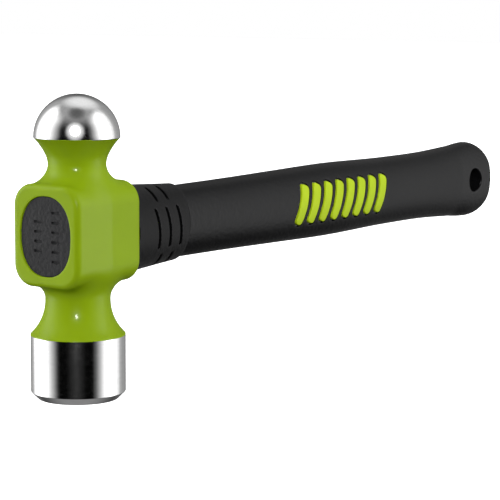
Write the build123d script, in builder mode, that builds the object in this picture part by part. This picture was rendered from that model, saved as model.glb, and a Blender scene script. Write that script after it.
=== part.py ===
from build123d import *

import math
import os

os.makedirs("parts", exist_ok=True)

# Ball peen hammer, millimetres.
# The hammer stands on its striking face: the origin is the centre of that face, +Z runs up the head
# through the ball, and +X runs along the handle to its butt. The handle axis is level, at z = axis_z.

# ---- head ----
axis_z = 66.6
face_radius = 19.3
face_flat_radius = 16.3
face_bevel_height = 3.0
face_land_top = 26.4
poll_neck_radius = 13.25
poll_neck_z = 40.55
peen_neck_radius = 11.75
peen_neck_z = 95.0
ball_radius = 17.5
ball_z = 106.25
ball_step = 0.25
collar_cone_angle = 36.0
peen_neck_curve = 10.5

# ---- eye block ----
block_half_length = 19.9
block_half_width = 18.2
block_end_half_width = 17.2
block_half_height = 20.65
block_rise = 1.15
block_corner_radius = 9.0
block_edge_radius = 2.4
poll_fillet = 4.4
peen_fillet = 5.8

# ---- eye, stepped: a wide seat at the front for the locking plate, a narrower bore behind it ----
seat_half_width = 13.0
seat_half_height = 16.1
seat_depth = 6.6
seat_rim_radius = 0.8
oval_end_share = 0.94
eye_half_width = 11.6
eye_half_height = 14.4

# ---- locking plate, cover and rods ----
plate_thickness = 3.0
cover_recess = 0.3
cover_edge_radius = 0.3
groove_length = 4.2
groove_width = 1.0
groove_depth = 0.7
groove_pitch = 3.9
groove_columns = ((-5.2, 6), (3.9, 4))
rod_radius = 2.0
rod_column_y = 3.8
rod_row_pitch = 7.6
rod_head_radius = 2.9
rod_head_height = 1.6
rod_end_x = 292.0

# ---- moulded core ----
core_half_width = 7.6
core_half_height = 11.6
core_corner_radius = 3.0
core_end_x = 300.0
spacer_half_width = 6.6
spacer_half_height = 10.4
spacer_thickness = 6.0
spacer_xs = (44.0, 160.0, 276.0)

# ---- handle ----
seam_x = 62.0
crease_x = 302.0
butt_x = 331.6
butt_top_radius = 15.0
butt_bottom_radius = 13.0
butt_plan_radius = 2.5
neck_shoulder_radius = 1.3
slot_width = 1.8
slot_depth = 1.6
slot_slant = 8.5
slot_first_x = 35.9
slot_pitch = 8.9
long_slot_half = 8.6
short_slot_low = 11.0
short_slot_high = 16.7
short_slot_crest_gap = 4.5
loft_bulge = 0.1
hole_x = 315.0
hole_radius = 6.0
hole_rim_radius = 0.8

# ---- side badges: a row of slanted bars let into each side of the grip ----
badge_centre_x = 183.5
badge_rise = 0.6
badge_bar_count = 8
badge_pitch = 9.9
badge_bar_width = 5.5
badge_bar_height = 19.0
badge_slant = 20.0
badge_depth = 1.1
badge_proud = 0.3
strip_half_height = 6.0
strip_depth = 1.9

# Handle sections along X: (x, half width in Y, half height in Z) of an ellipse.
neck_sections = (
    (block_half_length, 16.6, 18.9),
    (36.0, 14.4, 18.0),
    (50.0, 12.4, 17.2),
    (seam_x, 10.9, 16.6),
)
grip_sections = (
    (seam_x, 10.4, 15.6),
    (100.0, 10.6, 16.0),
    (140.0, 10.9, 16.75),
    (180.0, 11.0, 17.45),
    (235.0, 10.6, 16.9),
    (275.0, 10.1, 17.35),
    (crease_x, 9.9, 18.7),
)
butt_sections = (
    (crease_x, 9.9, 18.7),
    (317.0, 10.2, 20.0),
    (butt_x + 1.0, 10.5, 19.7),
)

# ---- derived ----
eye_z = axis_z + block_rise
block_front_x = -block_half_length
seat_floor_x = block_front_x + seat_depth
cover_front_x = block_front_x + cover_recess
plate_front_x = seat_floor_x - plate_thickness
rod_places = [(y, z) for y in (-rod_column_y, rod_column_y) for z in (-rod_row_pitch, 0.0, rod_row_pitch)]


def across(x, level=axis_z):
    """Plane square to the handle at x: its own x runs along +Y and its own y along +Z."""
    return Plane(origin=(x, 0, level), x_dir=(0, 1, 0), z_dir=(1, 0, 0))


def oval(half_width, half_height):
    """Four tangent arcs: flatter sides, rounder ends. Drawn in the current line builder."""
    end = oval_end_share * half_width
    drop = half_height - end
    side = (end**2 - half_width**2 - drop**2) / (2 * (end - half_width))
    reach = side - half_width
    lean = math.atan2(drop, reach)
    corner_y = side * math.cos(lean) - reach
    corner_z = side * math.sin(lean)
    ThreePointArc((corner_y, -corner_z), (half_width, 0), (corner_y, corner_z))
    ThreePointArc((corner_y, corner_z), (0, half_height), (-corner_y, corner_z))
    ThreePointArc((-corner_y, corner_z), (-half_width, 0), (-corner_y, -corner_z))
    ThreePointArc((-corner_y, -corner_z), (0, -half_height), (corner_y, -corner_z))


def neck_root(edges, radius, level):
    """Edges where the round neck of that radius meets the block near that height."""
    tolerance = 0.05

    def on_neck(edge):
        points = [edge @ share for share in (0, 0.5, 1)]
        return all(abs(math.hypot(point.X, point.Y) - radius) < tolerance for point in points)

    found = edges.filter_by(lambda edge: abs(edge.center().Z - level) < block_edge_radius + 1)
    return found.filter_by(on_neck)


def is_round(face, radius):
    return face.geom_type == GeomType.CYLINDER and abs(face.radius - radius) < 0.01


def finish_piece(builder, name):
    builder.part.label = name
    export_step(builder.part, f"parts/{name}.step")


# ---------------------------------------------------------------- hammer head
# One forging: poll, eye block, peen neck and ball are one solid.
collar_angle = math.radians(collar_cone_angle)
collar_start_r = peen_neck_radius + peen_neck_curve * (1 - math.cos(collar_angle))
collar_start_z = peen_neck_z + peen_neck_curve * math.sin(collar_angle)
collar_top_r = ball_radius - ball_step
collar_top_z = collar_start_z + (collar_top_r - collar_start_r) / math.tan(collar_angle)
poll_rise = poll_neck_z - face_land_top
poll_drop = face_radius - poll_neck_radius
poll_curve = (poll_rise**2 + poll_drop**2) / (2 * poll_drop)
half_rise = math.asin(poll_rise / poll_curve) / 2

# The block's sides slope in from a crease halfway along it.
with BuildPart() as eye_block:
    with BuildSketch(Plane.XY.offset(eye_z - block_half_height)):
        with BuildLine():
            Polyline(
                (-block_half_length, -block_end_half_width),
                (0, -block_half_width),
                (block_half_length, -block_end_half_width),
                (block_half_length, block_end_half_width),
                (0, block_half_width),
                (-block_half_length, block_end_half_width),
                close=True,
            )
        make_face()
    extrude(amount=2 * block_half_height)
    long_edges = eye_block.faces().filter_by(Axis.Z).edges().filter_by(Axis.Y, reverse=True)
    fillet(long_edges, block_corner_radius)

with BuildPart() as hammer_head:
    with BuildSketch(Plane.XZ):
        with BuildLine():
            Polyline(
                (0, 0),
                (face_flat_radius, 0),
                (face_radius, face_bevel_height),
                (face_radius, face_land_top),
            )
            ThreePointArc(
                (face_radius, face_land_top),
                (
                    poll_neck_radius + poll_curve * (1 - math.cos(half_rise)),
                    poll_neck_z - poll_curve * math.sin(half_rise),
                ),
                (poll_neck_radius, poll_neck_z),
            )
            Polyline((poll_neck_radius, poll_neck_z), (poll_neck_radius, axis_z), (peen_neck_radius, axis_z))
            Line((peen_neck_radius, axis_z), (peen_neck_radius, peen_neck_z))
            ThreePointArc(
                (peen_neck_radius, peen_neck_z),
                (
                    peen_neck_radius + peen_neck_curve * (1 - math.cos(collar_angle / 2)),
                    peen_neck_z + peen_neck_curve * math.sin(collar_angle / 2),
                ),
                (collar_start_r, collar_start_z),
            )
            Line((collar_start_r, collar_start_z), (collar_top_r, collar_top_z))
            Line((collar_top_r, collar_top_z), (ball_radius, ball_z))
            ThreePointArc(
                (ball_radius, ball_z),
                (ball_radius * math.cos(math.pi / 4), ball_z + ball_radius * math.sin(math.pi / 4)),
                (0, ball_z + ball_radius),
            )
            Line((0, ball_z + ball_radius), (0, 0))
        make_face()
    revolve(axis=Axis.Z)
    add(eye_block.part)
    fillet(hammer_head.faces().filter_by(Axis.X).edges(), block_edge_radius)
    fillet(neck_root(hammer_head.edges(), poll_neck_radius, eye_z - block_half_height), poll_fillet)
    fillet(neck_root(hammer_head.edges(), peen_neck_radius, eye_z + block_half_height), peen_fillet)
    # The eye runs right through the block, with the wider seat at its front.
    with BuildSketch(across(0, eye_z)):
        with BuildLine():
            oval(eye_half_width, eye_half_height)
        make_face()
    extrude(amount=2 * block_half_length, both=True, mode=Mode.SUBTRACT)
    with BuildSketch(across(seat_floor_x, eye_z)):
        with BuildLine():
            oval(seat_half_width, seat_half_height)
        make_face()
    extrude(amount=-2 * seat_depth, mode=Mode.SUBTRACT)
    seat_mouth = hammer_head.faces().filter_by(Axis.X).sort_by(Axis.X)[0].inner_wires()[0]
    fillet(seat_mouth.edges(), seat_rim_radius)
finish_piece(hammer_head, "hammer_head")

# ---------------------------------------------------------------- locking plate
# Steel oval that bears on the ledge of the seat and carries the six rods.
with BuildPart() as locking_plate:
    with BuildSketch(across(plate_front_x, eye_z)):
        with BuildLine():
            oval(seat_half_width, seat_half_height)
        make_face()
    extrude(amount=plate_thickness)
    with BuildSketch(across(plate_front_x)):
        with Locations(*rod_places):
            Circle(rod_radius)
    extrude(amount=plate_thickness, mode=Mode.SUBTRACT)
finish_piece(locking_plate, "locking_plate")

# ---------------------------------------------------------------- eye cover
# Moulded oval cap over the plate, with two columns of short grooves in its face and a pocket behind it for
# each rod head.
with BuildPart() as eye_cover:
    with BuildSketch(across(cover_front_x, eye_z)):
        with BuildLine():
            oval(seat_half_width, seat_half_height)
        make_face()
    extrude(amount=plate_front_x - cover_front_x)
    fillet(eye_cover.faces().sort_by(Axis.X)[0].edges(), cover_edge_radius)
    for column_y, groove_count in groove_columns:
        with BuildSketch(across(cover_front_x, eye_z)):
            with Locations((column_y, 0)):
                with GridLocations(0, groove_pitch, 1, groove_count):
                    RectangleRounded(groove_length, groove_width, groove_width / 3)
        extrude(amount=groove_depth, mode=Mode.SUBTRACT)
    with BuildSketch(across(plate_front_x)):
        with Locations(*rod_places):
            Circle(rod_head_radius)
    extrude(amount=-rod_head_height, mode=Mode.SUBTRACT)
finish_piece(eye_cover, "eye_cover")

# ---------------------------------------------------------------- core rods
# Six spring-steel rods, each with a head formed over the plate.
for number, (rod_y, rod_z) in enumerate(rod_places, start=1):
    with BuildPart() as core_rod:
        with BuildSketch(across(plate_front_x)):
            with Locations((rod_y, rod_z)):
                Circle(rod_radius)
        extrude(amount=rod_end_x - plate_front_x)
        with BuildSketch(across(plate_front_x)):
            with Locations((rod_y, rod_z)):
                Circle(rod_head_radius)
        extrude(amount=-rod_head_height)
    finish_piece(core_rod, f"core_rod_{number}")

# ---------------------------------------------------------------- rod spacers
# Three moulded spacers hold the rods parallel inside the core.
for number, spacer_x in enumerate(spacer_xs, start=1):
    with BuildPart() as rod_spacer:
        with BuildSketch(across(spacer_x - spacer_thickness / 2)):
            RectangleRounded(2 * spacer_half_width, 2 * spacer_half_height, core_corner_radius - 1)
            with Locations(*rod_places):
                Circle(rod_radius, mode=Mode.SUBTRACT)
        extrude(amount=spacer_thickness)
    finish_piece(rod_spacer, f"rod_spacer_{number}")

# ---------------------------------------------------------------- handle core
# Hard moulding around the rods: an oval tenon that fills the eye, then a slim bar down the handle.
with BuildPart() as core_outline:
    with BuildSketch(across(seat_floor_x, eye_z)):
        with BuildLine():
            oval(eye_half_width, eye_half_height)
        make_face()
    extrude(amount=block_half_length - seat_floor_x)
    with BuildSketch(across(block_half_length)):
        RectangleRounded(2 * core_half_width, 2 * core_half_height, core_corner_radius)
    extrude(amount=core_end_x - block_half_length)

with BuildPart() as handle_core:
    add(core_outline.part)
    with BuildSketch(across(seat_floor_x)):
        with Locations(*rod_places):
            Circle(rod_radius)
    extrude(amount=rod_end_x - seat_floor_x, mode=Mode.SUBTRACT)
    for spacer_x in spacer_xs:
        with BuildSketch(across(spacer_x - spacer_thickness / 2)):
            RectangleRounded(2 * spacer_half_width, 2 * spacer_half_height, core_corner_radius - 1)
        extrude(amount=spacer_thickness, mode=Mode.SUBTRACT)
finish_piece(handle_core, "handle_core")

# ---------------------------------------------------------------- anti-vibration neck
# Soft sleeve behind the head. Staggered slots are let into its sides and shoulders.
with BuildPart() as neck_outline:
    for section_x, half_width, half_height in neck_sections:
        with BuildSketch(across(section_x)):
            Ellipse(half_width, half_height)
    loft()
    fillet(neck_outline.faces().sort_by(Axis.X)[-1].edges(), neck_shoulder_radius)

with BuildPart() as neck_inside:
    for section_x, half_width, half_height in neck_sections:
        with BuildSketch(across(section_x)):
            Ellipse(half_width - slot_depth, half_height - slot_depth)
    loft()

short_slot_z = (short_slot_low + short_slot_high) / 2
short_slot_length = short_slot_high - short_slot_low
slot_reach = 2 * block_half_width
with BuildPart() as neck_slots:
    for place in range(5):
        # Even places are long side slots; odd places are pairs of short ones, above and below.
        slot_x = slot_first_x + place * slot_pitch / 2
        if place % 2 == 0:
            with Locations(Location((slot_x, 0, axis_z), (0, slot_slant, 0))):
                Box(slot_width, 2 * slot_reach, 2 * long_slot_half)
        else:
            for side in (-1, 1):
                for level in (-1, 1):
                    lean = level * short_slot_z * math.tan(math.radians(slot_slant))
                    centre_y = side * (short_slot_crest_gap + slot_reach / 2)
                    centre = (slot_x - lean, centre_y, axis_z + level * short_slot_z)
                    with Locations(Location(centre, (0, -slot_slant, 0))):
                        Box(slot_width, slot_reach, short_slot_length)
    add(neck_outline.part, mode=Mode.INTERSECT)
    add(neck_inside.part, mode=Mode.SUBTRACT)

with BuildPart() as neck_sleeve:
    add(neck_outline.part)
    add(neck_slots.part, mode=Mode.SUBTRACT)
    add(core_outline.part, mode=Mode.SUBTRACT)
finish_piece(neck_sleeve, "neck_sleeve")

# ---------------------------------------------------------------- badges
# One moulding a side: a row of slanted bars that stand slightly proud of the grip, joined by a strip
# under its skin.
badge_layers = []
for rise in (badge_proud, -badge_depth, -strip_depth):
    with BuildPart() as layer:
        for section_x, half_width, half_height in grip_sections:
            with BuildSketch(across(section_x)):
                Ellipse(half_width + rise, half_height + rise)
        loft()
    badge_layers.append(layer.part)
badge_skin, badge_floor, strip_floor = badge_layers

strip_length = (badge_bar_count - 1) * badge_pitch
badges = {}
for side, side_name in ((-1, "right"), (1, "left")):
    with BuildPart() as bars:
        with BuildSketch(Plane.XZ):
            for bar in range(badge_bar_count):
                bar_x = badge_centre_x + (bar - (badge_bar_count - 1) / 2) * badge_pitch
                with Locations(Location((bar_x, axis_z + badge_rise, 0), (0, 0, -badge_slant))):
                    RectangleRounded(badge_bar_width, badge_bar_height, badge_bar_width / 3)
        extrude(amount=-side * 2 * block_half_width)
        add(badge_skin, mode=Mode.INTERSECT)
        add(badge_floor, mode=Mode.SUBTRACT)
    with BuildPart() as strip:
        with BuildSketch(Plane.XZ):
            with Locations((badge_centre_x, axis_z)):
                Rectangle(strip_length, 2 * strip_half_height)
        extrude(amount=-side * 2 * block_half_width)
        add(badge_floor, mode=Mode.INTERSECT)
        add(strip_floor, mode=Mode.SUBTRACT)
    with BuildPart() as badge:
        add(bars.part)
        add(strip.part)
    badges[side_name] = badge
    finish_piece(badge, f"badge_{side_name}")

# ---------------------------------------------------------------- grip
# The flared butt is rounded in side view and softened in plan, with the hang hole through it.
butt_half_width = max(half_width for section_x, half_width, half_height in butt_sections)
butt_half_height = max(half_height for section_x, half_width, half_height in butt_sections) + loft_bulge
with BuildPart() as butt:
    for section_x, half_width, half_height in butt_sections:
        with BuildSketch(across(section_x)):
            Ellipse(half_width, half_height)
    loft()
    with BuildSketch(Plane.XZ) as side_view:
        with Locations((butt_x / 2, axis_z)):
            Rectangle(butt_x, 2 * butt_half_height)
        fillet(side_view.vertices().group_by(Axis.X)[-1].sort_by(Axis.Y)[-1], butt_top_radius)
        fillet(side_view.vertices().group_by(Axis.X)[-1].sort_by(Axis.Y)[0], butt_bottom_radius)
    extrude(amount=block_half_width, both=True, mode=Mode.INTERSECT)
    with BuildSketch(Plane.XY.offset(axis_z)) as plan_view:
        with Locations((butt_x / 2, 0)):
            Rectangle(butt_x, 2 * butt_half_width)
        fillet(plan_view.vertices().group_by(Axis.X)[-1], butt_plan_radius)
    extrude(amount=2 * butt_half_height, both=True, mode=Mode.INTERSECT)
    with BuildSketch(Plane.XZ):
        with Locations((hole_x, axis_z)):
            Circle(hole_radius)
    extrude(amount=block_half_width, both=True, mode=Mode.SUBTRACT)
    hole_wall = butt.faces().filter_by(lambda face: is_round(face, hole_radius))
    fillet(hole_wall.edges().filter_by(GeomType.LINE, reverse=True), hole_rim_radius)

with BuildPart() as grip:
    for section_x, half_width, half_height in grip_sections:
        with BuildSketch(across(section_x)):
            Ellipse(half_width, half_height)
    loft()
    add(butt.part)
    add(core_outline.part, mode=Mode.SUBTRACT)
    for badge in badges.values():
        add(badge.part, mode=Mode.SUBTRACT)
finish_piece(grip, "grip")
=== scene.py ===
import math

import bmesh
import bpy
import numpy as np
from mathutils import Matrix, Vector


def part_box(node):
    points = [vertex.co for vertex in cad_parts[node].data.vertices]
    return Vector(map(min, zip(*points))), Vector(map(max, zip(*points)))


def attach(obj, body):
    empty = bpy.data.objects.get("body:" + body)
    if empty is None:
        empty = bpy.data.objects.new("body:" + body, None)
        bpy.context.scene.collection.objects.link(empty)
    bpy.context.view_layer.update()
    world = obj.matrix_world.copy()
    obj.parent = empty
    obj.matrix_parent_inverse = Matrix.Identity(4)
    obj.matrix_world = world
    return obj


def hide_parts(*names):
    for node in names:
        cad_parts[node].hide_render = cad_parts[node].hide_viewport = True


# Ball peen hammer. Shapes are worked out in millimetres and scaled to metres when a mesh is made.
MM = 0.001

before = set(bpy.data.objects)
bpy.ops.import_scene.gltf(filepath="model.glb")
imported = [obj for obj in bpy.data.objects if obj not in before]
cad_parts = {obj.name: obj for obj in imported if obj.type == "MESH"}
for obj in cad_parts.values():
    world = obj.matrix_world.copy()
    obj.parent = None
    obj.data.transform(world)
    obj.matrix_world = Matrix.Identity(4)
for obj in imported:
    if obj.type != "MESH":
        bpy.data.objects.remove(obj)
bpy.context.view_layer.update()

# ------------------------------------------------------------------ places read from the frame


def box_mm(node):
    low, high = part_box(node)
    return np.array(low) / MM, np.array(high) / MM


head_low, head_high = box_mm("hammer_head")
cover_low, cover_high = box_mm("eye_cover")
plate_high = box_mm("locking_plate")[1]
neck_low, neck_high = box_mm("neck_sleeve")
grip_low, grip_high = box_mm("grip")
core_high = box_mm("handle_core")[1]

axis_z = (neck_low[2] + neck_high[2]) / 2
eye_z = (cover_low[2] + cover_high[2]) / 2
block_half_length = head_high[0]
face_radius = head_high[1]
ball_top = head_high[2]
seam_x = grip_low[0]
butt_x = grip_high[0]

# ------------------------------------------------------------------ driving sizes, millimetres
BALL_RADIUS = 17.5
BALL_EDGE = 0.25
BALL_STEPS = 64
FACE_BEVEL = 3.0
BEVEL_OUTER_EDGE = 0.35
BEVEL_INNER_EDGE = 0.5
PAINT_EDGE_Z = 26.1
POLL_NECK_RADIUS = 13.25
POLL_NECK_Z = 40.55
POLL_CURVE = 19.2
POLL_FILLET = 6.0
POLL_ARC_SHARE = 0.98
PEEN_NECK_RADIUS = 11.75
PEEN_NECK_Z = 95.0
PEEN_NECK_CURVE = 10.5
COLLAR_ANGLE = math.radians(27.0)
COLLAR_CURVE = 27.0
COLLAR_LEAN_LIMIT = 0.95
PEEN_FILLET = 7.4
BLOCK_HALF_WIDTH = 18.2
BLOCK_HALF_HEIGHT = 20.65
BLOCK_CORNER = 9.0
BLOCK_EDGE = 2.4
BLOCK_DRAFT = math.radians(2.9)
NECK_SINK = 8.0
SEAT_HALF_WIDTH = 13.0
SEAT_HALF_HEIGHT = 16.1
SEAT_RIM = 0.4
EYE_HALF_WIDTH = 11.6
EYE_HALF_HEIGHT = 14.4
OVAL_POWER = 2.3
CORE_HALF_WIDTH = 7.6
CORE_HALF_HEIGHT = 11.6
CORE_CORNER = 3.0
COVER_RECESS = 0.3
COVER_CROWN = 0.2
COVER_EDGE = 0.3
COVER_CLEARANCE = 0.05
GROOVE_LENGTH = 4.2
GROOVE_WIDTH = 1.0
GROOVE_PITCH = 3.9
GROOVE_DEPTH = 0.7
GROOVE_EDGE = 0.08
# (y of a column, number of grooves in it)
GROOVE_COLUMNS = ((-5.2, 6), (3.9, 4))

# Sections along the handle: (x, half width, half height)
NECK_SECTIONS = ((19.9, 16.6, 18.9), (36.0, 14.4, 18.0), (50.0, 12.4, 17.2), (62.0, 10.9, 16.6))
GRIP_SECTIONS = (
    (62.0, 10.4, 15.6),
    (100.0, 10.6, 16.0),
    (140.0, 10.9, 16.75),
    (180.0, 11.0, 17.45),
    (235.0, 10.6, 16.9),
    (275.0, 10.3, 17.35),
    (302.0, 9.7, 18.7),
)
BUTT_SECTIONS = ((302.0, 9.7, 18.7), (317.0, 10.2, 20.0), (331.6, 10.6, 19.75))
NECK_SHOULDER = 1.4
SLOT_WIDTH = 1.8
SLOT_DEPTH = 1.6
SLOT_EDGE = 0.35
SLOT_SLANT = math.radians(8.5)
SLOT_FIRST_X = 35.9
SLOT_PITCH = 8.9
SLOT_PLACES = 5
LONG_SLOT_HALF = 8.6
SHORT_SLOT_LOW = 11.0
SHORT_SLOT_HIGH = 16.7
BUTT_TOP_RADIUS = 15.0
BUTT_BOTTOM_RADIUS = 13.0
BUTT_EDGE = 1.5
HOLE_X = 315.0
HOLE_RADIUS = 6.0
HOLE_RIM = 0.8
HOLE_RIM_STEPS = 5

BADGE_CENTRE_X = 183.5
BADGE_RISE = 0.6
BADGE_BARS = 8
BADGE_PITCH = 9.9
BADGE_BAR_WIDTH = 5.5
BADGE_BAR_HEIGHT = 19.0
BADGE_CORNER = BADGE_BAR_WIDTH / 3
BADGE_SLANT = math.radians(20.0)
BADGE_PROUD = 0.3
BADGE_EDGE = 0.25
BADGE_EDGE_STEPS = 3
BADGE_GAP = 0.85
BADGE_DEPTH = 1.6

# Grid steps of the meshes drawn from a field
HEAD_STEP = 0.42
COVER_STEP = 0.16
NECK_STEP = 0.35

# ------------------------------------------------------------------ distance fields
# A field takes points (n, 3) in millimetres and returns about the distance to a surface, negative inside.


def round_union(a, b, radius):
    """Union with a circular fillet in the inner corner."""
    corner = np.hypot(np.maximum(radius - a, 0), np.maximum(radius - b, 0))
    return np.maximum(radius, np.minimum(a, b)) - corner


def round_cut(a, b, radius):
    """The part of a outside b, with the outer corner rounded."""
    return -round_union(-a, b, radius)


def round_both(a, b, radius):
    return -round_union(-a, -b, radius)


def rounded_rectangle(u, v, half_u, half_v, corner):
    over_u = np.abs(u) - half_u + corner
    over_v = np.abs(v) - half_v + corner
    outside = np.hypot(np.maximum(over_u, 0), np.maximum(over_v, 0))
    return outside + np.minimum(np.maximum(over_u, over_v), 0) - corner


def oval(u, v, half_u, half_v, power=OVAL_POWER):
    """Superellipse, with its value scaled to be a distance near the outline."""
    au = np.abs(u) / half_u
    av = np.abs(v) / half_v
    size = np.maximum(au**power + av**power, 1e-9) ** (1 / power)
    slope_u = (au / size) ** (power - 1) / half_u
    slope_v = (av / size) ** (power - 1) / half_v
    return (size - 1) / np.maximum(np.hypot(slope_u, slope_v), 1e-6)


def curve_through(stations, column):
    """Smooth interpolation through the stations: cubic Hermite with central slopes."""
    xs = np.array([s[0] for s in stations])
    ys = np.array([s[column] for s in stations])
    slopes = np.gradient(ys, xs)

    def at(x):
        x = np.clip(x, xs[0], xs[-1])
        i = np.clip(np.searchsorted(xs, x, side="right") - 1, 0, len(xs) - 2)
        span = xs[i + 1] - xs[i]
        t = (x - xs[i]) / span
        rest = 1 - t
        start = (1 + 2 * t) * rest**2 * ys[i] + t * rest**2 * span * slopes[i]
        end = t**2 * (3 - 2 * t) * ys[i + 1] - t**2 * rest * span * slopes[i + 1]
        return start + end

    return at


collar_start_z = PEEN_NECK_Z + PEEN_NECK_CURVE * math.sin(COLLAR_ANGLE)
collar_top_z = ball_top - BALL_RADIUS - BALL_EDGE
collar_top_r = BALL_RADIUS - BALL_EDGE


def turned(points, radius_at):
    """Distance to a surface of revolution about the head's axis."""
    step = 0.01
    z = points[:, 2]
    radius = radius_at(z)
    slope = (radius_at(z + step) - radius) / step
    return (np.hypot(points[:, 0], points[:, 1]) - radius) / np.hypot(1, slope)


def poll_radius(z):
    drop = np.clip(POLL_NECK_Z - z, 0, POLL_ARC_SHARE * POLL_CURVE)
    return np.minimum(POLL_NECK_RADIUS + POLL_CURVE - np.sqrt(POLL_CURVE**2 - drop**2), face_radius)


def peen_radius(z):
    """One arc out of the neck, then a flatter one up to the ball."""
    rise = np.clip(z - PEEN_NECK_Z, 0, collar_start_z - PEEN_NECK_Z)
    near = PEEN_NECK_RADIUS + PEEN_NECK_CURVE - np.sqrt(PEEN_NECK_CURVE**2 - rise**2)
    lean = math.sin(COLLAR_ANGLE) + np.maximum(z - collar_start_z, 0) / COLLAR_CURVE
    lean = np.minimum(lean, COLLAR_LEAN_LIMIT)
    return near + COLLAR_CURVE * (math.cos(COLLAR_ANGLE) - np.sqrt(1 - lean**2))


def block_field(points):
    x, y, z = points.T
    half_width = BLOCK_HALF_WIDTH - np.abs(x) * math.tan(BLOCK_DRAFT)
    outline = rounded_rectangle(y, z - eye_z, half_width, BLOCK_HALF_HEIGHT, BLOCK_CORNER)
    return round_both(outline, np.abs(x) - block_half_length, BLOCK_EDGE)


def head_field(points):
    x, y, z = points.T
    block = block_field(points)
    peen = np.maximum(turned(points, peen_radius), eye_z + BLOCK_HALF_HEIGHT - NECK_SINK - z)
    poll = np.maximum(turned(points, poll_radius), z - eye_z + BLOCK_HALF_HEIGHT - NECK_SINK)
    body = round_union(round_union(block, peen, PEEN_FILLET), poll, POLL_FILLET)
    seat = np.maximum(oval(y, z - eye_z, SEAT_HALF_WIDTH, SEAT_HALF_HEIGHT), x - plate_high[0])
    eye = oval(y, z - eye_z, EYE_HALF_WIDTH, EYE_HALF_HEIGHT)
    return np.maximum(round_cut(body, seat, SEAT_RIM), -eye)


neck_width = curve_through(NECK_SECTIONS, 1)
neck_height = curve_through(NECK_SECTIONS, 2)


def grip_size(column):
    """Half width or half height of the grip at x, with a slight crease where the butt begins."""
    along = curve_through(GRIP_SECTIONS, column)
    flare = curve_through(BUTT_SECTIONS, column)
    return lambda x: np.where(x < BUTT_SECTIONS[0][0], along(x), flare(x))


grip_width = grip_size(1)
grip_height = grip_size(2)


def handle_skin(points, width_at, height_at):
    x, y, z = points.T
    return oval(y, z - axis_z, width_at(x), height_at(x), 2.0)


def core_field(points):
    """The hard core's bar, which both handle mouldings are hollow for."""
    y, z = points[:, 1], points[:, 2] - axis_z
    return rounded_rectangle(y, z, CORE_HALF_WIDTH, CORE_HALF_HEIGHT, CORE_CORNER)


def slot_places():
    """(x, centre height, half length) of each slot, counted from the handle axis."""
    short_mid = (SHORT_SLOT_LOW + SHORT_SLOT_HIGH) / 2
    short_half = (SHORT_SLOT_HIGH - SHORT_SLOT_LOW) / 2
    for place in range(SLOT_PLACES):
        x = SLOT_FIRST_X + place * SLOT_PITCH / 2
        if place % 2 == 0:
            yield x, 0.0, LONG_SLOT_HALF
        else:
            yield x, short_mid, short_half
            yield x, -short_mid, short_half


def slots_field(points):
    """Distance, measured over the skin, to the outline of the nearest slot."""
    x, z = points[:, 0], points[:, 2] - axis_z
    nearest = np.full(len(points), np.inf)
    for slot_x, mid, half in slot_places():
        along = np.maximum(np.abs(z - mid) - half + SLOT_WIDTH / 2, 0)
        across = x - slot_x + z * math.tan(SLOT_SLANT)
        nearest = np.minimum(nearest, np.hypot(along, across) - SLOT_WIDTH / 2)
    return nearest


def neck_field(points):
    x = points[:, 0]
    skin = handle_skin(points, neck_width, neck_height)
    body = round_both(skin, x - seam_x, NECK_SHOULDER)
    body = np.maximum(body, neck_low[0] - x)
    slot = np.maximum(slots_field(points), -SLOT_DEPTH - skin)
    return np.maximum(round_cut(body, slot, SLOT_EDGE), -core_field(points))


def butt_outline(points):
    """Side view of the butt: square in plan, with a larger round above than below."""
    x, z = points[:, 0], points[:, 2] - axis_z
    radius = np.where(z > 0, BUTT_TOP_RADIUS, BUTT_BOTTOM_RADIUS)
    half_height = grip_high[2] - axis_z + BUTT_EDGE / 3
    return rounded_rectangle(x - butt_x / 2, z, butt_x / 2, half_height, radius)


def bar_place(bar):
    return BADGE_CENTRE_X + (bar - (BADGE_BARS - 1) / 2) * BADGE_PITCH


def inlets_field(points):
    """Distance in side view to the hang hole or the nearest badge bar."""
    x, z = points[:, 0], points[:, 2] - axis_z
    nearest = np.hypot(x - HOLE_X, z) - HOLE_RADIUS
    for bar in range(BADGE_BARS):
        from_bar = x - bar_place(bar)
        u = from_bar * math.cos(BADGE_SLANT) - (z - BADGE_RISE) * math.sin(BADGE_SLANT)
        v = from_bar * math.sin(BADGE_SLANT) + (z - BADGE_RISE) * math.cos(BADGE_SLANT)
        outline = rounded_rectangle(u, v, BADGE_BAR_WIDTH / 2, BADGE_BAR_HEIGHT / 2, BADGE_CORNER)
        nearest = np.minimum(nearest, outline)
    return nearest


def grip_field(points):
    """The grip's skin alone, without what is let into it."""
    return round_both(handle_skin(points, grip_width, grip_height), butt_outline(points), BUTT_EDGE)


def cover_field(points):
    x, y, z = points[:, 0], points[:, 1], points[:, 2] - eye_z
    outline = oval(y, z, SEAT_HALF_WIDTH - COVER_CLEARANCE, SEAT_HALF_HEIGHT - COVER_CLEARANCE)
    fall = COVER_CROWN * ((y / SEAT_HALF_WIDTH) ** 2 + (z / SEAT_HALF_HEIGHT) ** 2)
    front = head_low[0] + COVER_RECESS + fall - x
    cap = np.maximum(round_both(outline, front, COVER_EDGE), x - cover_high[0])
    for column_y, count in GROOVE_COLUMNS:
        for groove in range(count):
            groove_z = (groove - (count - 1) / 2) * GROOVE_PITCH
            outline = rounded_rectangle(
                y - column_y, z - groove_z, GROOVE_LENGTH / 2, GROOVE_WIDTH / 2, GROOVE_WIDTH / 2.5
            )
            cap = round_cut(cap, np.maximum(outline, -GROOVE_DEPTH - front), GROOVE_EDGE)
    return cap


# ------------------------------------------------------------------ meshes


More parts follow.
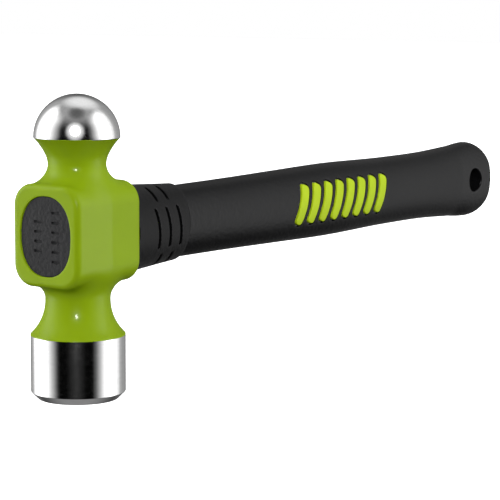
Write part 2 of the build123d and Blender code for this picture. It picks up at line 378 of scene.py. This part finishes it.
def surface_net(field, low, high, step):
    """Quads along the zero of a field, one vertex in each grid cell that it crosses."""
    margin = 1.5 * step
    low = np.array(low, float) - margin
    counts = np.ceil((np.array(high, float) + margin - low) / step).astype(int) + 1
    axes = [low[k] + step * np.arange(counts[k]) for k in range(3)]
    grid = np.stack(np.meshgrid(*axes, indexing="ij"), -1)
    values = np.concatenate([field(slab.reshape(-1, 3)) for slab in grid]).reshape(counts)
    inside = values < 0
    cells = tuple(counts - 1)
    total = np.zeros(cells + (3,))
    crossings = np.zeros(cells)
    for axis in range(3):
        for du in (0, 1):
            for dv in (0, 1):
                offset = np.insert(np.array([du, dv]), axis, 0)
                start = tuple(slice(o, o + c) for o, c in zip(offset, cells))
                offset[axis] = 1
                end = tuple(slice(o, o + c) for o, c in zip(offset, cells))
                crossed = inside[start] != inside[end]
                a, b = values[start], values[end]
                part = np.where(crossed, a / np.where(crossed, a - b, 1), 0)
                place = grid[start].copy()
                place[..., axis] += part * step
                total += place * crossed[..., None]
                crossings += crossed
    active = crossings > 0
    index = np.full(cells, -1)
    index[active] = np.arange(active.sum())
    verts = total[active] / crossings[active][:, None]
    quads = []
    for axis in range(3):
        u, v = [k for k in range(3) if k != axis]
        first = [slice(1, c) for c in cells]
        first[axis] = slice(0, cells[axis])
        after = list(first)
        after[axis] = slice(1, cells[axis] + 1)
        starts, ends = inside[tuple(first)], inside[tuple(after)]
        around = []
        for du, dv in ((0, 0), (1, 0), (1, 1), (0, 1)):
            window = [slice(0, c) for c in cells]
            window[u] = slice(1 - du, cells[u] - du)
            window[v] = slice(1 - dv, cells[v] - dv)
            around.append(index[tuple(window)])
        around = np.stack(around, -1)
        leaving = around[starts & ~ends]
        entering = around[~starts & ends]
        flip = axis == 1
        quads.append(leaving if flip else leaving[:, ::-1])
        quads.append(entering[:, ::-1] if flip else entering)
    return settle(field, verts, step), np.concatenate(quads)


def gradient(field, verts, reach=0.02):
    slope = np.zeros_like(verts)
    for k in range(3):
        ahead, behind = verts.copy(), verts.copy()
        ahead[:, k] += reach
        behind[:, k] -= reach
        slope[:, k] = (field(ahead) - field(behind)) / (2 * reach)
    return slope


def settle(field, verts, step, rounds=4, share=0.9, least_square=0.05):
    """Moves each vertex down the field's slope onto its surface, by less than a cell."""
    limit = 0.7 * step
    settled = verts.copy()
    for _ in range(rounds):
        slope = gradient(field, settled)
        square = np.maximum((slope**2).sum(1), least_square)
        settled -= slope * (field(settled) / square)[:, None] * share
        moved = settled - verts
        length = np.linalg.norm(moved, axis=1)
        settled = verts + moved * np.minimum(1, limit / np.maximum(length, 1e-9))[:, None]
    return settled


def new_piece(name, mesh, material):
    piece = bpy.data.objects.new(name, mesh)
    bpy.context.scene.collection.objects.link(piece)
    mesh.materials.append(material)
    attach(piece, "root")
    return piece


def make_mesh(name, verts, faces, sharp_angle=40.0):
    mesh = bpy.data.meshes.new(name)
    mesh.from_pydata((np.asarray(verts) * MM).tolist(), [], [[int(v) for v in f] for f in faces])
    mesh.polygons.foreach_set("use_smooth", [True] * len(mesh.polygons))
    mesh.set_sharp_from_angle(angle=math.radians(sharp_angle))
    mesh.update()
    return mesh


def trim(mesh, height, upward):
    """Cuts a mesh off square at a height, keeping what is below it, or above it if upward is false."""
    bm = bmesh.new()
    bm.from_mesh(mesh)
    cut = bmesh.ops.bisect_plane(
        bm,
        geom=bm.verts[:] + bm.edges[:] + bm.faces[:],
        plane_co=(0, 0, height * MM),
        plane_no=(0, 0, 1 if upward else -1),
        clear_outer=True,
    )
    rim = [item for item in cut["geom_cut"] if isinstance(item, bmesh.types.BMEdge)]
    bmesh.ops.holes_fill(bm, edges=rim, sides=0)
    for edge in rim:
        edge.smooth = False
    bm.to_mesh(mesh)
    bm.free()


def round_corner(profile, corner, radius, steps=6):
    """Replaces one corner of a profile by an arc."""
    before, here, after = (np.array(profile[corner + k], float) for k in (-1, 0, 1))
    a = (before - here) / np.linalg.norm(before - here)
    b = (after - here) / np.linalg.norm(after - here)
    half = math.acos(np.clip(a @ b, -1, 1)) / 2
    back = radius / math.tan(half)
    centre = here + (a + b) / np.linalg.norm(a + b) * radius / math.sin(half)
    start, end = here + a * back - centre, here + b * back - centre
    sweep = math.pi - 2 * half
    arc = []
    for k in range(steps + 1):
        t = k / steps
        blend = start * math.sin((1 - t) * sweep) + end * math.sin(t * sweep)
        arc.append(centre + blend / math.sin(sweep))
    return profile[:corner] + [tuple(p) for p in arc] + profile[corner + 1 :]


def turned_mesh(profile, segments=192):
    """Quads round the head's axis; the profile runs from the axis outwards and back to the axis."""
    radii = np.array([p[0] for p in profile[1:-1]])
    heights = np.array([p[1] for p in profile[1:-1]])
    angles = 2 * math.pi * np.arange(segments) / segments
    ring = np.stack([np.cos(angles), np.sin(angles)], -1)
    verts = [(r * c, r * s, h) for r, h in zip(radii, heights) for c, s in ring]
    first = len(verts)
    verts += [(0, 0, profile[0][1]), (0, 0, profile[-1][1])]
    faces = []
    for row in range(len(radii) - 1):
        for k in range(segments):
            n = (k + 1) % segments
            a = row * segments
            faces.append((a + k, a + n, a + segments + n, a + segments + k))
    last = (len(radii) - 1) * segments
    for k in range(segments):
        n = (k + 1) % segments
        faces.append((first, n, k))
        faces.append((first + 1, last + k, last + n))
    return np.array(verts), faces


def face_profile():
    profile = [
        (0, 0),
        (face_radius - FACE_BEVEL, 0),
        (face_radius, FACE_BEVEL),
        (face_radius, PAINT_EDGE_Z),
        (0, PAINT_EDGE_Z),
    ]
    profile = round_corner(profile, 2, BEVEL_OUTER_EDGE)
    return round_corner(profile, 1, BEVEL_INNER_EDGE)


def ball_profile():
    centre = ball_top - BALL_RADIUS
    arc = []
    for k in range(1, BALL_STEPS + 1):
        angle = math.pi / 2 * (1 - k / BALL_STEPS)
        arc.append((BALL_RADIUS * math.cos(angle), centre + BALL_RADIUS * math.sin(angle)))
    edge = [(collar_top_r, collar_top_z), (0, collar_top_z)]
    return [(0, ball_top)] + arc + edge


SKIN_POINTS = 96
RAY_STRETCH = 1.6
WELD = 1e-6
INLET_CLEARANCE = 0.3
skin_turns = 2 * math.pi * np.arange(SKIN_POINTS) / SKIN_POINTS


def ray_rings(field, xs, halvings=32):
    """For each x, the ring where rays from the handle axis leave a shape."""
    direction = np.stack([np.cos(skin_turns), RAY_STRETCH * np.sin(skin_turns)], -1)
    direction /= np.linalg.norm(direction, axis=1)[:, None]
    x = np.repeat(xs, SKIN_POINTS)
    aim = np.tile(direction, (len(xs), 1))
    inner, outer = np.zeros(len(x)), np.full(len(x), 2 * BLOCK_HALF_HEIGHT)
    for _ in range(halvings):
        reach = (inner + outer) / 2
        within = field(np.stack([x, reach * aim[:, 0], axis_z + reach * aim[:, 1]], -1)) < 0
        inner, outer = np.where(within, reach, inner), np.where(within, outer, reach)
    points = np.stack([x, inner * aim[:, 0], axis_z + inner * aim[:, 1]], -1)
    return points.reshape(len(xs), SKIN_POINTS, 3)


def skin_y(x, z):
    """Half width of the grip at a place seen from the side."""
    return grip_width(x) * np.sqrt(1 - ((z - axis_z) / grip_height(x)) ** 2)


def grip_stations():
    """x of each ring of the grip, closer together along the badges and at the butt."""
    just_inside = 0.001
    badge_half = (BADGE_BARS * BADGE_PITCH + BADGE_BAR_HEIGHT * math.sin(BADGE_SLANT)) / 2
    # (where a stretch ends, number of stations along it with both ends)
    stretches = (
        (BADGE_CENTRE_X - badge_half, 40),
        (BADGE_CENTRE_X + badge_half, 92),
        (BUTT_SECTIONS[0][0], 42),
        (butt_x - BUTT_TOP_RADIUS, 13),
        (butt_x - BUTT_EDGE, 17),
    )
    parts = [[seam_x]]
    for end, count in stretches:
        parts.append(np.linspace(parts[-1][-1], end, count)[1:])
    turn = np.linspace(0, math.pi / 2, 9)[1:]
    parts.append(butt_x - BUTT_EDGE * (1 - np.sin(turn)) - just_inside)
    return np.concatenate(parts)


def bar_outline(bar, offset, corner_points=7, side_points=14):
    """Outline of a badge bar seen from the side, moved outwards by the offset."""
    half_u, half_v = BADGE_BAR_WIDTH / 2 + offset, BADGE_BAR_HEIGHT / 2 + offset
    corner = BADGE_CORNER + offset
    points = []
    for quarter, (su, sv) in enumerate(((1, 1), (-1, 1), (-1, -1), (1, -1))):
        for k in range(corner_points):
            angle = math.pi / 2 * (quarter + k / (corner_points - 1))
            u = su * (half_u - corner) + corner * math.cos(angle)
            v = sv * (half_v - corner) + corner * math.sin(angle)
            points.append((u, v))
        if quarter % 2 == 1:
            span = half_v - corner
            for k in range(1, side_points):
                v = span * (1 - 2 * k / side_points) * (1 if su < 0 else -1)
                points.append((su * half_u, v))
    points = np.array(points)
    cos, sin = math.cos(BADGE_SLANT), math.sin(BADGE_SLANT)
    x = bar_place(bar) + points[:, 0] * cos + points[:, 1] * sin
    z = axis_z + BADGE_RISE - points[:, 0] * sin + points[:, 1] * cos
    return np.stack([x, z], -1)


def hole_outline(offset, points=64):
    angles = 2 * math.pi * np.arange(points) / points
    radius = HOLE_RADIUS + offset
    return np.stack([HOLE_X + radius * np.cos(angles), axis_z + radius * np.sin(angles)], -1)


def add_ring(bm, outline, side, depth):
    """Closed ring of vertices at a depth under the grip's skin."""
    y = side * (skin_y(outline[:, 0], outline[:, 1]) - depth)
    return [bm.verts.new((x * MM, yy * MM, z * MM)) for (x, z), yy in zip(outline, y)]


def join_rings(bm, a, b):
    for k in range(len(a)):
        n = (k + 1) % len(a)
        bm.faces.new((a[k], a[n], b[n], b[k]))


def ring_edges(bm, ring):
    return [bm.edges.get((ring[k], ring[k - 1])) for k in range(len(ring))]


def rounded_lip(radius, steps):
    """(outward offset, depth) pairs from the skin round into a wall."""
    for k in range(steps + 1):
        angle = math.pi / 2 * k / steps
        yield radius * (1 - math.sin(angle)), radius * (1 - math.cos(angle))


def fill_core(outline, amount):
    """The outline drawn in towards its own middle line."""
    centre = outline.mean(0)
    axis = np.array([math.sin(BADGE_SLANT), math.cos(BADGE_SLANT)])
    along = (outline - centre) @ axis
    half = (BADGE_BAR_HEIGHT - BADGE_BAR_WIDTH) / 2
    middle = centre + np.clip(along, -half, half)[:, None] * axis
    return middle + (outline - middle) * amount


def close_mesh(bm, name, sharp_angle=50.0):
    """Welds the seams, turns the faces outwards and hands over a smooth mesh."""
    bmesh.ops.remove_doubles(bm, verts=bm.verts[:], dist=WELD)
    bmesh.ops.recalc_face_normals(bm, faces=bm.faces[:])
    for face in bm.faces:
        face.smooth = True
    mesh = bpy.data.meshes.new(name)
    bm.to_mesh(mesh)
    bm.free()
    mesh.set_sharp_from_angle(angle=math.radians(sharp_angle))
    return mesh


def grip_mesh():
    """Skin in rings along the handle, hollow for the core, with the hang hole and badge pockets let in."""
    stations = grip_stations()
    rings = ray_rings(grip_field, stations)
    tube = ray_rings(core_field, np.array([seam_x, core_high[0]]))
    bm = bmesh.new()
    skin = [[bm.verts.new(Vector(p) * MM) for p in ring] for ring in rings]
    for a, b in zip(skin, skin[1:]):
        join_rings(bm, a, b)
    end = rings[-1]
    middle = np.array([butt_x, 0, axis_z])
    previous = skin[-1]
    for share in (0.9, 0.7, 0.45, 0.2):
        ring = [bm.verts.new(Vector(middle + (p - middle) * share) * MM) for p in end]
        join_rings(bm, previous, ring)
        previous = ring
    bm.faces.new(previous)
    inner = [[bm.verts.new(Vector(p) * MM) for p in ring] for ring in tube]
    join_rings(bm, inner[0], skin[0])
    join_rings(bm, inner[1], inner[0])
    bm.faces.new(inner[1][::-1])
    bm.normal_update()
    skin_verts = [v for ring in skin for v in ring]
    places = np.array([v.co[:] for v in skin_verts]) / MM
    lip = np.where(places[:, 0] > BUTT_SECTIONS[0][0], HOLE_RIM, BADGE_GAP + BADGE_EDGE)
    on_side = np.abs(places[:, 1]) > grip_width(places[:, 0]) / 3
    cleared = (inlets_field(places) < lip + INLET_CLEARANCE) & on_side
    doomed = {f for v, near in zip(skin_verts, cleared) if near for f in v.link_faces}
    bmesh.ops.delete(bm, geom=list(doomed), context="FACES")
    edges = {-1: [], 1: []}
    for edge in bm.edges:
        if len(edge.link_faces) == 1:
            edges[-1 if edge.verts[0].co.y < 0 else 1].append(edge)
    mouths = {}
    for side in (-1, 1):
        hole_lip = list(rounded_lip(HOLE_RIM, HOLE_RIM_STEPS))
        hole_rings = [add_ring(bm, hole_outline(out), side, depth) for out, depth in hole_lip]
        for a, b in zip(hole_rings, hole_rings[1:]):
            join_rings(bm, a, b)
        edges[side] += ring_edges(bm, hole_rings[0])
        mouths[side] = hole_rings[-1]
        for bar in range(BADGE_BARS):
            lip = list(rounded_lip(BADGE_EDGE, BADGE_EDGE_STEPS))
            pocket = [add_ring(bm, bar_outline(bar, BADGE_GAP + out), side, depth) for out, depth in lip]
            floor = bar_outline(bar, BADGE_GAP)
            for share in (1.0, 0.5, 0.0):
                pocket.append(add_ring(bm, fill_core(floor, share), side, BADGE_DEPTH + BADGE_EDGE))
            for a, b in zip(pocket, pocket[1:]):
                join_rings(bm, a, b)
            edges[side] += ring_edges(bm, pocket[0])
    join_rings(bm, mouths[-1], mouths[1])
    for side in (-1, 1):
        bmesh.ops.triangle_fill(bm, edges=edges[side], use_beauty=True, normal=(0, side, 0))
    return close_mesh(bm, "grip_skin")


def badge_mesh(name, side):
    """Bars that stand slightly proud of the grip, each a closed shell that follows its curve."""
    bm = bmesh.new()
    for bar in range(BADGE_BARS):
        rings = []
        for share in (0.0, 0.5):
            rings.append(add_ring(bm, fill_core(bar_outline(bar, 0), share), side, BADGE_DEPTH))
        rings.append(add_ring(bm, bar_outline(bar, 0), side, BADGE_DEPTH))
        for depth, inset in rounded_lip(BADGE_EDGE, BADGE_EDGE_STEPS):
            rings.append(add_ring(bm, bar_outline(bar, -inset), side, depth - BADGE_PROUD))
        for share in (0.75, 0.4, 0.0):
            rings.append(add_ring(bm, fill_core(bar_outline(bar, -BADGE_EDGE), share), side, -BADGE_PROUD))
        for a, b in zip(rings, rings[1:]):
            join_rings(bm, a, b)
    return close_mesh(bm, name)


# ------------------------------------------------------------------ materials
# Noise seldom leaves this range, so colour and roughness are spread over it.
NOISE_LOW = 0.3
NOISE_HIGH = 0.7


def new_material(name):
    material = bpy.data.materials.new(name)
    material.use_nodes = True
    nodes = material.node_tree.nodes
    shader = next(n for n in nodes if n.type == "BSDF_PRINCIPLED")
    return material, nodes, material.node_tree.links, shader


def object_noise(nodes, links, scale, detail=4.0, stretch=(1, 1, 1)):
    """Noise fixed to the object, scale in cycles per metre."""
    place = nodes.new("ShaderNodeTexCoord")
    mapping = nodes.new("ShaderNodeMapping")
    mapping.inputs["Scale"].default_value = stretch
    noise = nodes.new("ShaderNodeTexNoise")
    noise.inputs["Scale"].default_value = scale
    noise.inputs["Detail"].default_value = detail
    links.new(place.outputs["Object"], mapping.inputs["Vector"])
    links.new(mapping.outputs["Vector"], noise.inputs["Vector"])
    return noise.outputs["Fac"]


def ramp(nodes, links, factor, low, high):
    node = nodes.new("ShaderNodeValToRGB")
    stops = ((NOISE_LOW, low), (NOISE_HIGH, high))
    for element, (place, colour) in zip(node.color_ramp.elements, stops):
        element.position = place
        element.color = (*colour, 1.0)
    links.new(factor, node.inputs["Fac"])
    return node.outputs["Color"]


def spread(nodes, links, factor, low, high):
    node = nodes.new("ShaderNodeMapRange")
    node.inputs["From Min"].default_value = NOISE_LOW
    node.inputs["From Max"].default_value = NOISE_HIGH
    node.inputs["To Min"].default_value = low
    node.inputs["To Max"].default_value = high
    links.new(factor, node.inputs["Value"])
    return node.outputs["Result"]


def bump(nodes, links, shader, height, distance, strength):
    node = nodes.new("ShaderNodeBump")
    node.inputs["Distance"].default_value = distance
    node.inputs["Strength"].default_value = strength
    links.new(height, node.inputs["Height"])
    links.new(node.outputs["Normal"], shader.inputs["Normal"])


def scaled(colour, factor):
    return tuple(c * factor for c in colour)


def enamel():
    """Green powder coat: satin, with faint orange peel and slight clouding under a thin clear gloss."""
    material, nodes, links, shader = new_material("green_powder_coat")
    green = (0.212, 0.318, 0.0055)
    cloud = object_noise(nodes, links, 55, 3)
    colour = ramp(nodes, links, cloud, scaled(green, 0.97), scaled(green, 1.03))
    links.new(colour, shader.inputs["Base Color"])
    links.new(spread(nodes, links, object_noise(nodes, links, 300, 3), 0.4, 0.5), shader.inputs["Roughness"])
    shader.inputs["Specular IOR Level"].default_value = 0.0
    shader.inputs["Coat Weight"].default_value = 0.27
    shader.inputs["Coat Roughness"].default_value = 0.12
    bump(nodes, links, shader, object_noise(nodes, links, 700, 2), 0.00006, 0.3)
    return material


def polished_steel(name, stretch):
    """Bare polished steel with fine marks drawn out along one direction."""
    material, nodes, links, shader = new_material(name)
    marks = object_noise(nodes, links, 1400, 3, stretch)
    shader.inputs["Metallic"].default_value = 1.0
    colour = ramp(nodes, links, marks, (0.80, 0.80, 0.80), (0.86, 0.86, 0.86))
    links.new(colour, shader.inputs["Base Color"])
    links.new(spread(nodes, links, marks, 0.09, 0.14), shader.inputs["Roughness"])
    bump(nodes, links, shader, marks, 0.00002, 0.15)
    return material


def rubber(name, colour, grain_scale, grain_depth, rough, gloss):
    """Matt black rubber with a fine moulded grain."""
    material, nodes, links, shader = new_material(name)
    cloud = object_noise(nodes, links, 90, 3)
    base = ramp(nodes, links, cloud, scaled(colour, 0.88), scaled(colour, 1.12))
    links.new(base, shader.inputs["Base Color"])
    grain = object_noise(nodes, links, grain_scale, 5)
    links.new(spread(nodes, links, grain, rough - 0.05, rough + 0.05), shader.inputs["Roughness"])
    shader.inputs["Specular IOR Level"].default_value = gloss
    bump(nodes, links, shader, grain, grain_depth, 0.6)
    return material


def moulded_plastic(name, colour, rough, gloss):
    material, nodes, links, shader = new_material(name)
    cloud = object_noise(nodes, links, 120, 3)
    base = ramp(nodes, links, cloud, scaled(colour, 0.96), scaled(colour, 1.04))
    links.new(base, shader.inputs["Base Color"])
    grain = object_noise(nodes, links, 1800, 3)
    links.new(spread(nodes, links, grain, rough - 0.05, rough + 0.05), shader.inputs["Roughness"])
    shader.inputs["Specular IOR Level"].default_value = gloss
    bump(nodes, links, shader, grain, 0.00004, 0.4)
    return material


def drawn_steel():
    material, nodes, links, shader = new_material("drawn_steel")
    marks = object_noise(nodes, links, 1200, 3, (0.05, 1, 1))
    shader.inputs["Metallic"].default_value = 1.0
    colour = ramp(nodes, links, marks, (0.40, 0.40, 0.41), (0.52, 0.52, 0.53))
    links.new(colour, shader.inputs["Base Color"])
    links.new(spread(nodes, links, marks, 0.28, 0.42), shader.inputs["Roughness"])
    bump(nodes, links, shader, marks, 0.00003, 0.3)
    return material


green_coat = enamel()
ball_steel = polished_steel("ball_steel", (1, 1, 1))
face_steel = polished_steel("face_steel", (0.2, 0.2, 1))
cover_black = rubber("cover_rubber", (0.017, 0.017, 0.018), 620, 0.0007, 0.5, 0.15)
neck_black = rubber("neck_rubber", (0.0035, 0.0035, 0.0038), 620, 0.0003, 0.20, 0.115)
grip_black = rubber("grip_rubber", (0.003, 0.003, 0.0033), 620, 0.0003, 0.19, 0.12)
lime = moulded_plastic("lime_inlay", (0.40, 0.54, 0.008), 0.45, 0.1)
steel = drawn_steel()
core_plastic = moulded_plastic("core_nylon", (0.10, 0.10, 0.11), 0.5, 0.5)
spacer_plastic = moulded_plastic("spacer_nylon", (0.75, 0.73, 0.66), 0.45, 0.5)

# ------------------------------------------------------------------ pieces


def net_piece(name, field, low, high, step, material):
    verts, quads = surface_net(field, low, high, step)
    return new_piece(name, make_mesh(name, verts, quads), material)


past_edge = 1.2
body = net_piece(
    "head_body",
    head_field,
    (-block_half_length, -face_radius, PAINT_EDGE_Z - past_edge),
    (block_half_length, face_radius, collar_top_z + past_edge),
    HEAD_STEP,
    green_coat,
)
trim(body.data, collar_top_z, True)
trim(body.data, PAINT_EDGE_Z, False)
ball_shell = make_mesh("head_ball", *turned_mesh(ball_profile()[::-1]))
face_shell = make_mesh("head_face", *turned_mesh(face_profile()))
ball = new_piece("head_ball", ball_shell, ball_steel)
face = new_piece("head_face", face_shell, face_steel)
for piece in (body, ball, face):
    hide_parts("hammer_head")

cover = net_piece("cover_cap", cover_field, cover_low, cover_high, COVER_STEP, cover_black)
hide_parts("eye_cover")

neck = net_piece("neck_skin", neck_field, neck_low, neck_high, NECK_STEP, neck_black)
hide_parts("neck_sleeve")

handle = new_piece("grip_skin", grip_mesh(), grip_black)
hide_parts("grip")

for side_name, side in (("right", -1), ("left", 1)):
    name = f"badge_bars_{side_name}"
    bars = new_piece(name, badge_mesh(name, side), lime)
    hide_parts(f"badge_{side_name}")

inner_materials = {
    "core_rod": steel,
    "locking_plate": steel,
    "rod_spacer": spacer_plastic,
    "handle_core": core_plastic,
}
for node_name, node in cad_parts.items():
    for prefix, material in inner_materials.items():
        if node_name.startswith(prefix):
            node.data.materials.clear()
            node.data.materials.append(material)

# ------------------------------------------------------------------ camera


def add_camera():
    """Low three-quarter view from beyond the front of the eye, a little above the handle."""
    azimuth = math.radians(54.82)
    elevation = math.radians(7.34)
    roll = math.radians(0.27)
    distance = 0.88474
    target = Vector((0.12095, 0.0, 0.04817))
    focal_in_widths = 3.88346
    back = Vector(
        (
            -math.sin(azimuth) * math.cos(elevation),
            -math.cos(azimuth) * math.cos(elevation),
            math.sin(elevation),
        )
    )
    level = Vector((math.cos(azimuth), -math.sin(azimuth), 0))
    upright = back.cross(level)
    right = math.cos(roll) * level + math.sin(roll) * upright
    up = back.cross(right)
    data = bpy.data.cameras.new("camera")
    data.sensor_width = 36.0
    data.lens = data.sensor_width * focal_in_widths
    data.clip_start = 0.01
    data.clip_end = 100
    camera = bpy.data.objects.new("camera", data)
    turn = Matrix((right, up, back)).transposed().to_4x4()
    camera.matrix_world = Matrix.Translation(target + back * distance) @ turn
    bpy.context.scene.collection.objects.link(camera)
    bpy.context.scene.camera = camera
    return camera


camera = add_camera()

# ------------------------------------------------------------------ stage and light
# The floor is in metres
FLOOR_DROP = 0.15
FLOOR_HALF = 12.0
CAMERA_BEARING = math.atan2(camera.location.y, camera.location.x)
BOX_LEVEL = 3.4
CEILING_LEVEL = 0.38
GROUND_LEVEL = 0.26
# Round the walls: (azimuth in degrees from the camera, share of a soft box, brightness of the bare wall)
STUDIO_WALLS = (
    (-179, 0.0, 0.10),
    (-165, 0.0, 0.20),
    (-156, 0.0, 0.36),
    (-141, 0.03, 0.36),
    (-128, 0.4, 0.10),
    (-114, 1.0, 0.0),
    (-96, 1.0, 0.0),
    (-80, 0.40, 0.0),
    (-74, 0.29, 0.0),
    (-67, 0.18, 0.0),
    (-56, 0.05, 0.0),
    (-51, 0.01, 0.0),
    (-46, 0.0, 0.0),
    (-28, 0.0, 0.0),
    (-5, 0.0, 0.03),
    (18, 0.0, 0.0),
    (35, 0.0, 0.0),
    (44, 0.04, 0.0),
    (54, 0.16, 0.0),
    (65, 0.35, 0.0),
    (80, 0.85, 0.0),
    (95, 0.85, 0.0),
    (106, 0.34, 0.0),
    (113, 0.27, 0.10),
    (121, 0.05, 0.34),
    (134, 0.0, 0.36),
    (150, 0.0, 0.33),
    (165, 0.0, 0.20),
    (179, 0.0, 0.10),
)
# How far the boxes' inner edges step in towards the camera above its level, in degrees
BOX_STEP = 6.0
# Elevations in degrees between which each part of the studio gives way to the next
STEP_RISE = (-9, 6)
WALL_TO_CEILING = (20, 66)
BOX_FADE = (62, 34)
HORIZON = (-40, -16)
GROUND_RISE = (-30, -75)
GROUND_EDGE_LEVEL = 0.05
# (azimuth, elevation, inner and outer angle, strength) of the round lights; a negative one is a shade
STUDIO_SPOTS = (
    (-5, 18.5, 14, 28, 0.8),
    (-5, 20, 11, 14, 2.6),
    (-5, 21, 0, 6, 95.0),
    (163, 66, 0, 34, 0.58),
    (0, 71, 0, 24, -0.26),
)


def add_floor():
    """Plain pale floor, well below the hammer."""
    signs = ((-1, -1), (1, -1), (1, 1), (-1, 1))
    corners = [(u * FLOOR_HALF, v * FLOOR_HALF, -FLOOR_DROP) for u, v in signs]
    mesh = bpy.data.meshes.new("floor")
    mesh.from_pydata(corners, [], [(0, 1, 2, 3)])
    floor = bpy.data.objects.new("floor", mesh)
    bpy.context.scene.collection.objects.link(floor)
    material, _, _, shader = new_material("pale_floor")
    shader.inputs["Base Color"].default_value = (0.9, 0.9, 0.9, 1)
    shader.inputs["Roughness"].default_value = 0.9
    shader.inputs["Emission Color"].default_value = (1, 1, 1, 1)
    shader.inputs["Emission Strength"].default_value = 0.9
    floor.data.materials.append(material)
    floor.visible_glossy = False
    floor.visible_diffuse = False
    floor.visible_shadow = False


def add_world():
    """Studio all round: soft white boxes left and right, a round one by the camera, dark between them."""
    world = bpy.data.worlds.new("studio")
    bpy.context.scene.world = world
    world.use_nodes = True
    nodes, links = world.node_tree.nodes, world.node_tree.links

    def math_node(operation, *values):
        node = nodes.new("ShaderNodeMath")
        node.operation = operation
        for socket, value in zip(node.inputs, values):
            if hasattr(value, "is_linked"):
                links.new(value, socket)
            else:
                socket.default_value = value
        return node.outputs[0]

    def smooth(value, start, end, low=0.0, high=1.0):
        node = nodes.new("ShaderNodeMapRange")
        node.interpolation_type = "SMOOTHSTEP"
        for name, number in (("From Min", start), ("From Max", end), ("To Min", low), ("To Max", high)):
            node.inputs[name].default_value = number
        links.new(value, node.inputs["Value"])
        return node.outputs["Result"]

    def mix(factor, a, b):
        share_a = math_node("MULTIPLY", math_node("SUBTRACT", 1.0, factor), a)
        return math_node("ADD", share_a, math_node("MULTIPLY", factor, b))

    def by_elevation(limits, low=0.0, high=1.0):
        start, end = limits
        return smooth(elevation, math.radians(start), math.radians(end), low, high)

    place = nodes.new("ShaderNodeTexCoord")
    facing = nodes.new("ShaderNodeVectorRotate")
    facing.rotation_type = "Z_AXIS"
    links.new(place.outputs["Generated"], facing.inputs["Vector"])
    facing.inputs["Angle"].default_value = -CAMERA_BEARING
    split = nodes.new("ShaderNodeSeparateXYZ")
    links.new(facing.outputs["Vector"], split.inputs["Vector"])
    # After the turn, +X is towards the camera and azimuth grows to the camera's right.
    azimuth = math_node("ARCTAN2", split.outputs["Y"], split.outputs["X"])
    elevation = math_node("ARCSINE", split.outputs["Z"])
    front = math_node("MAXIMUM", math_node("COSINE", azimuth), 0.0)
    step = math_node("MULTIPLY", math_node("MULTIPLY", math_node("SINE", azimuth), front), 2.0)
    step = math_node("MULTIPLY", step, by_elevation(STEP_RISE, 0.0, math.radians(BOX_STEP)))
    share = math_node("ADD", math_node("DIVIDE", math_node("ADD", azimuth, step), 2 * math.pi), 0.5)

    band = nodes.new("ShaderNodeValToRGB")
    links.new(share, band.inputs["Fac"])
    while len(band.color_ramp.elements) < len(STUDIO_WALLS):
        band.color_ramp.elements.new(0.5)
    for element, (degrees, box, bare) in zip(band.color_ramp.elements, STUDIO_WALLS):
        element.position = degrees / 360 + 0.5
        element.color = (box, bare, 0, 1)
    around = nodes.new("ShaderNodeSeparateColor")
    links.new(band.outputs["Color"], around.inputs["Color"])

    def spot(degrees, rise, inner, outer):
        """1 inside the inner angle from a direction, 0 past the outer one."""
        a, e = math.radians(degrees), math.radians(rise)
        centre = (math.cos(a) * math.cos(e), math.sin(a) * math.cos(e), math.sin(e))
        dot = nodes.new("ShaderNodeVectorMath")
        dot.operation = "DOT_PRODUCT"
        links.new(facing.outputs["Vector"], dot.inputs[0])
        dot.inputs[1].default_value = centre
        return smooth(dot.outputs["Value"], math.cos(math.radians(outer)), math.cos(math.radians(inner)))

    bare = mix(by_elevation(WALL_TO_CEILING), around.outputs["Green"], CEILING_LEVEL)
    box = math_node("MULTIPLY", around.outputs["Red"], by_elevation(BOX_FADE))
    level = math_node("ADD", bare, math_node("MULTIPLY", box, BOX_LEVEL))
    ground = by_elevation(GROUND_RISE, GROUND_EDGE_LEVEL, GROUND_LEVEL)
    level = mix(by_elevation(HORIZON), ground, level)
    for degrees, rise, inner, outer, strength in STUDIO_SPOTS:
        level = math_node("ADD", level, math_node("MULTIPLY", spot(degrees, rise, inner, outer), strength))
    level = math_node("MAXIMUM", level, 0.0)
    seen = nodes.new("ShaderNodeLightPath")
    level = mix(seen.outputs["Is Camera Ray"], level, 1.0)
    background = next(n for n in nodes if n.type == "BACKGROUND")
    background.inputs["Color"].default_value = (1, 1, 1, 1)
    links.new(level, background.inputs["Strength"])


add_floor()
add_world()

bpy.context.scene.view_settings.view_transform = "Standard"
bpy.context.scene.view_settings.look = "None"
